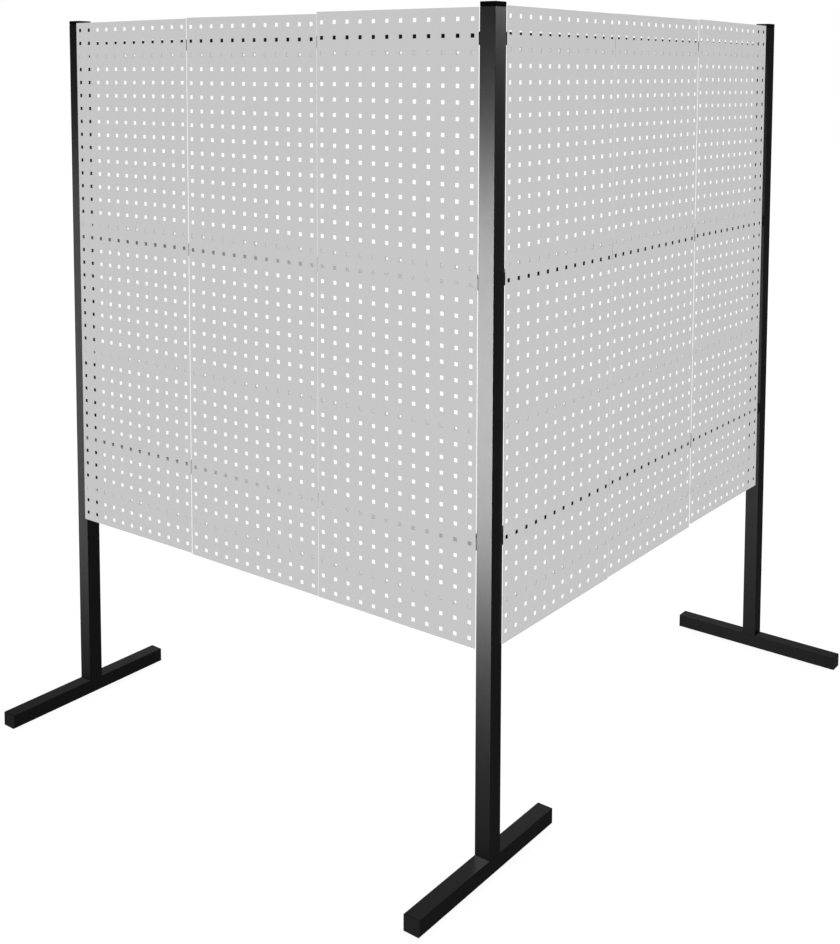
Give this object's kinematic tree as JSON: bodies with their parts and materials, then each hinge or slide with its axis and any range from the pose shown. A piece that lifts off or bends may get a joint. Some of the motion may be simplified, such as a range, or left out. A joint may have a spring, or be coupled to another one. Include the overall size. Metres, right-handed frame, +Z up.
{
  "type": "corner perforated display wall",
  "caption": "Free-standing corner display wall: perforated grey sheets hooked on a black tube frame with post feet.",
  "frame": {"origin": "on the floor under the corner post's axis, on the underside of the corner foot", "axes": "+Z up; the left wall runs along -X and shows its face to -Y; the right wall runs along +Y and shows its face to +X"},
  "size_m": [1.7017, 1.7267, 1.9405],
  "materials": {
    "frame_black": "satin black powder coat",
    "black_plastic": "matt moulded",
    "panel_grey": "light grey powder coat",
    "zinc": "zinc plated"
  },
  "bodies": {
    "root": {"corner_foot": "frame_black", "corner_foot_front_bolt": "zinc", "corner_foot_front_plug": "black_plastic", "corner_foot_rear_bolt": "zinc", "corner_foot_rear_plug": "black_plastic", "corner_post": "frame_black", "corner_post_cap": "black_plastic", "corner_post_insert": "zinc", "left_bottom_rail": "frame_black", "left_end_foot": "frame_black", "left_end_foot_front_bolt": "zinc", "left_end_foot_front_plug": "black_plastic", "left_end_foot_rear_bolt": "zinc", "left_end_foot_rear_plug": "black_plastic", "left_end_post": "frame_black", "left_end_post_cap": "black_plastic", "left_end_post_insert": "zinc", "left_inner_bottom_strip": "panel_grey", "left_inner_hanger_strip": "panel_grey", "left_inner_middle_strip": "panel_grey", "left_inner_panel": "panel_grey", "left_inner_top_strip": "panel_grey", "left_middle_bottom_strip": "panel_grey", "left_middle_hanger_strip": "panel_grey", "left_middle_middle_strip": "panel_grey", "left_middle_panel": "panel_grey", "left_middle_rail": "frame_black", "left_middle_top_strip": "panel_grey", "left_outer_bottom_strip": "panel_grey", "left_outer_hanger_strip": "panel_grey", "left_outer_middle_strip": "panel_grey", "left_outer_panel": "panel_grey", "left_outer_top_strip": "panel_grey", "left_top_rail": "frame_black", "right_bottom_rail": "frame_black", "right_end_foot": "frame_black", "right_end_foot_front_bolt": "zinc", "right_end_foot_front_plug": "black_plastic", "right_end_foot_rear_bolt": "zinc", "right_end_foot_rear_plug": "black_plastic", "right_end_post": "frame_black", "right_end_post_cap": "black_plastic", "right_end_post_insert": "zinc", "right_inner_bottom_strip": "panel_grey", "right_inner_hanger_strip": "panel_grey", "right_inner_middle_strip": "panel_grey", "right_inner_panel": "panel_grey", "right_inner_top_strip": "panel_grey", "right_middle_bottom_strip": "panel_grey", "right_middle_hanger_strip": "panel_grey", "right_middle_middle_strip": "panel_grey", "right_middle_panel": "panel_grey", "right_middle_rail": "frame_black", "right_middle_top_strip": "panel_grey", "right_outer_bottom_strip": "panel_grey", "right_outer_hanger_strip": "panel_grey", "right_outer_middle_strip": "panel_grey", "right_outer_panel": "panel_grey", "right_outer_top_strip": "panel_grey", "right_top_rail": "frame_black"}
  },
  "joints": []
}
